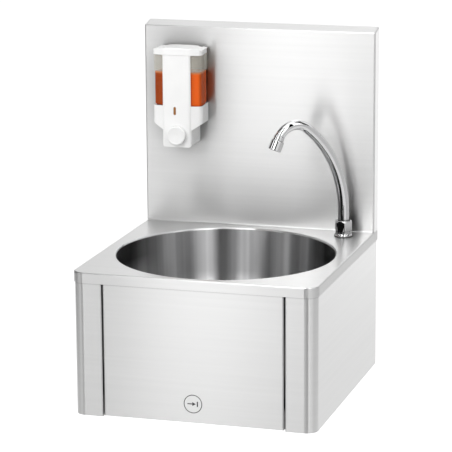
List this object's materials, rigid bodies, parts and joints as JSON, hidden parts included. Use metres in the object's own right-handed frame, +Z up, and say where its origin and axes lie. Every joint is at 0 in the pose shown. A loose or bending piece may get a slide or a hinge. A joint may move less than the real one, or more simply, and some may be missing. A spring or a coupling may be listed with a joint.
{
  "type": "knee-operated hand basin",
  "caption": "Wall-mounted stainless hand basin with backsplash, round bowl, swivel spout, soap dispenser and a sprung knee panel that opens the water.",
  "frame": {"origin": "centre of the four wall screw holes, on the wall plane", "axes": "+X to the right seen from the front, +Y into the wall, +Z up"},
  "size_m": [0.4, 0.412, 0.5783],
  "materials": {
    "brushed_sheet": "satin brushed stainless sheet",
    "bowl_steel": "polished stainless, finely spun",
    "bracket_steel": "plain rolled steel",
    "bright_steel": "turned bright steel",
    "spring_steel": "drawn wire",
    "chrome": "polished chrome plate",
    "brass": "machined brass",
    "plunger_steel": "ground stainless",
    "black_rubber": "black rubber",
    "nylon": "natural nylon",
    "hose_braid": "rubber hose in a steel braid",
    "trap_plastic": "white moulded plastic",
    "knob_plastic": "black moulded plastic",
    "white_plastic": "white moulded plastic",
    "clear_plastic": "clear moulded plastic",
    "amber_plastic": "amber translucent plastic",
    "liquid_soap": "orange liquid soap"
  },
  "bodies": {
    "basin": {"deck": "brushed_sheet", "backsplash": "brushed_sheet", "left_skirt": "brushed_sheet", "right_skirt": "brushed_sheet", "rear_panel": "brushed_sheet", "bowl": "bowl_steel", "valve_crossbar": "bracket_steel", "shank_washer": "bracket_steel", "pivot_pins": "bright_steel", "strainer": "bright_steel", "strainer_screw": "bright_steel", "dispenser_screws": "bright_steel", "lid_hinge_pin": "bright_steel", "valve_spring": "spring_steel", "pump_spring": "spring_steel", "spout_nut": "chrome", "faucet_base": "chrome", "knee_valve_body": "brass", "valve_gland_nut": "brass", "mixing_valve_body": "brass", "hot_inlet": "brass", "cold_inlet": "brass", "hose_nuts": "brass", "shank_locknut": "brass", "faucet_gasket": "black_rubber", "waste_gasket": "black_rubber", "trap_cup_seal": "black_rubber", "spout_feed_hose": "hose_braid", "waste_body": "trap_plastic", "trap_union_nut": "trap_plastic", "trap_head": "trap_plastic", "trap_dip_tube": "trap_plastic", "trap_cup": "trap_plastic", "trap_outlet_nut": "trap_plastic", "trap_outlet_pipe": "trap_plastic", "dispenser_cover": "white_plastic", "dispenser_backplate": "white_plastic", "pump_body": "white_plastic", "soap_nozzle": "white_plastic", "soap_tank": "clear_plastic", "sight_window": "amber_plastic", "soap_fill": "liquid_soap"},
    "knee_panel_assembly": {"knee_panel": "brushed_sheet", "pivot_bushes": "nylon", "stop_pads": "black_rubber"},
    "plunger": {"valve_plunger": "plunger_steel"},
    "swivel_spout": {"spout": "chrome", "spout_o_rings": "black_rubber", "aerator_shell": "chrome", "aerator_insert": "nylon"},
    "temperature_knob": {"mixing_knob": "knob_plastic", "mixing_spindle": "brass"},
    "lid": {"dispenser_lid": "white_plastic"},
    "push_button": {"dispenser_button": "white_plastic", "pump_piston": "nylon"}
  },
  "joints": [
    {"name": "knee_panel_hinge", "type": "hinge", "parent": "basin", "child": "knee_panel_assembly", "pos_m": [0, -0.402, 0.083], "axis": [1, 0, 0], "range_deg": [0, 5], "stiffness_Nm_per_rad": 20, "springref_deg": -2.86},
    {"name": "valve_plunger_slide", "type": "slide", "parent": "basin", "child": "plunger", "axis": [0, 1, 0], "range_m": [0, 0.0145], "deforming": ["valve_spring"]},
    {"name": "spout_swivel", "type": "hinge", "parent": "basin", "child": "swivel_spout", "pos_m": [0.156, -0.062, 0.138], "axis": [0, 0, 1], "range_deg": [-45, 135]},
    {"name": "temperature_turn", "type": "hinge", "parent": "basin", "child": "temperature_knob", "pos_m": [0.09, -0.259, -0.105], "axis": [0, 0, -1], "range_deg": [-90, 90]},
    {"name": "lid_hinge", "type": "hinge", "parent": "basin", "child": "lid", "pos_m": [-0.1282, -0.036, 0.4096], "axis": [-1, 0, 0], "range_deg": [0, 50]},
    {"name": "button_press", "type": "slide", "parent": "basin", "child": "push_button", "axis": [0, 1, 0], "range_m": [0, 0.006], "stiffness_N_per_m": 500, "springref_m": -0.002, "deforming": ["pump_spring"]}
  ],
  "couplings": [
    {"joint": "valve_plunger_slide", "follows": "knee_panel_hinge", "m_per_rad": 0.164}
  ]
}
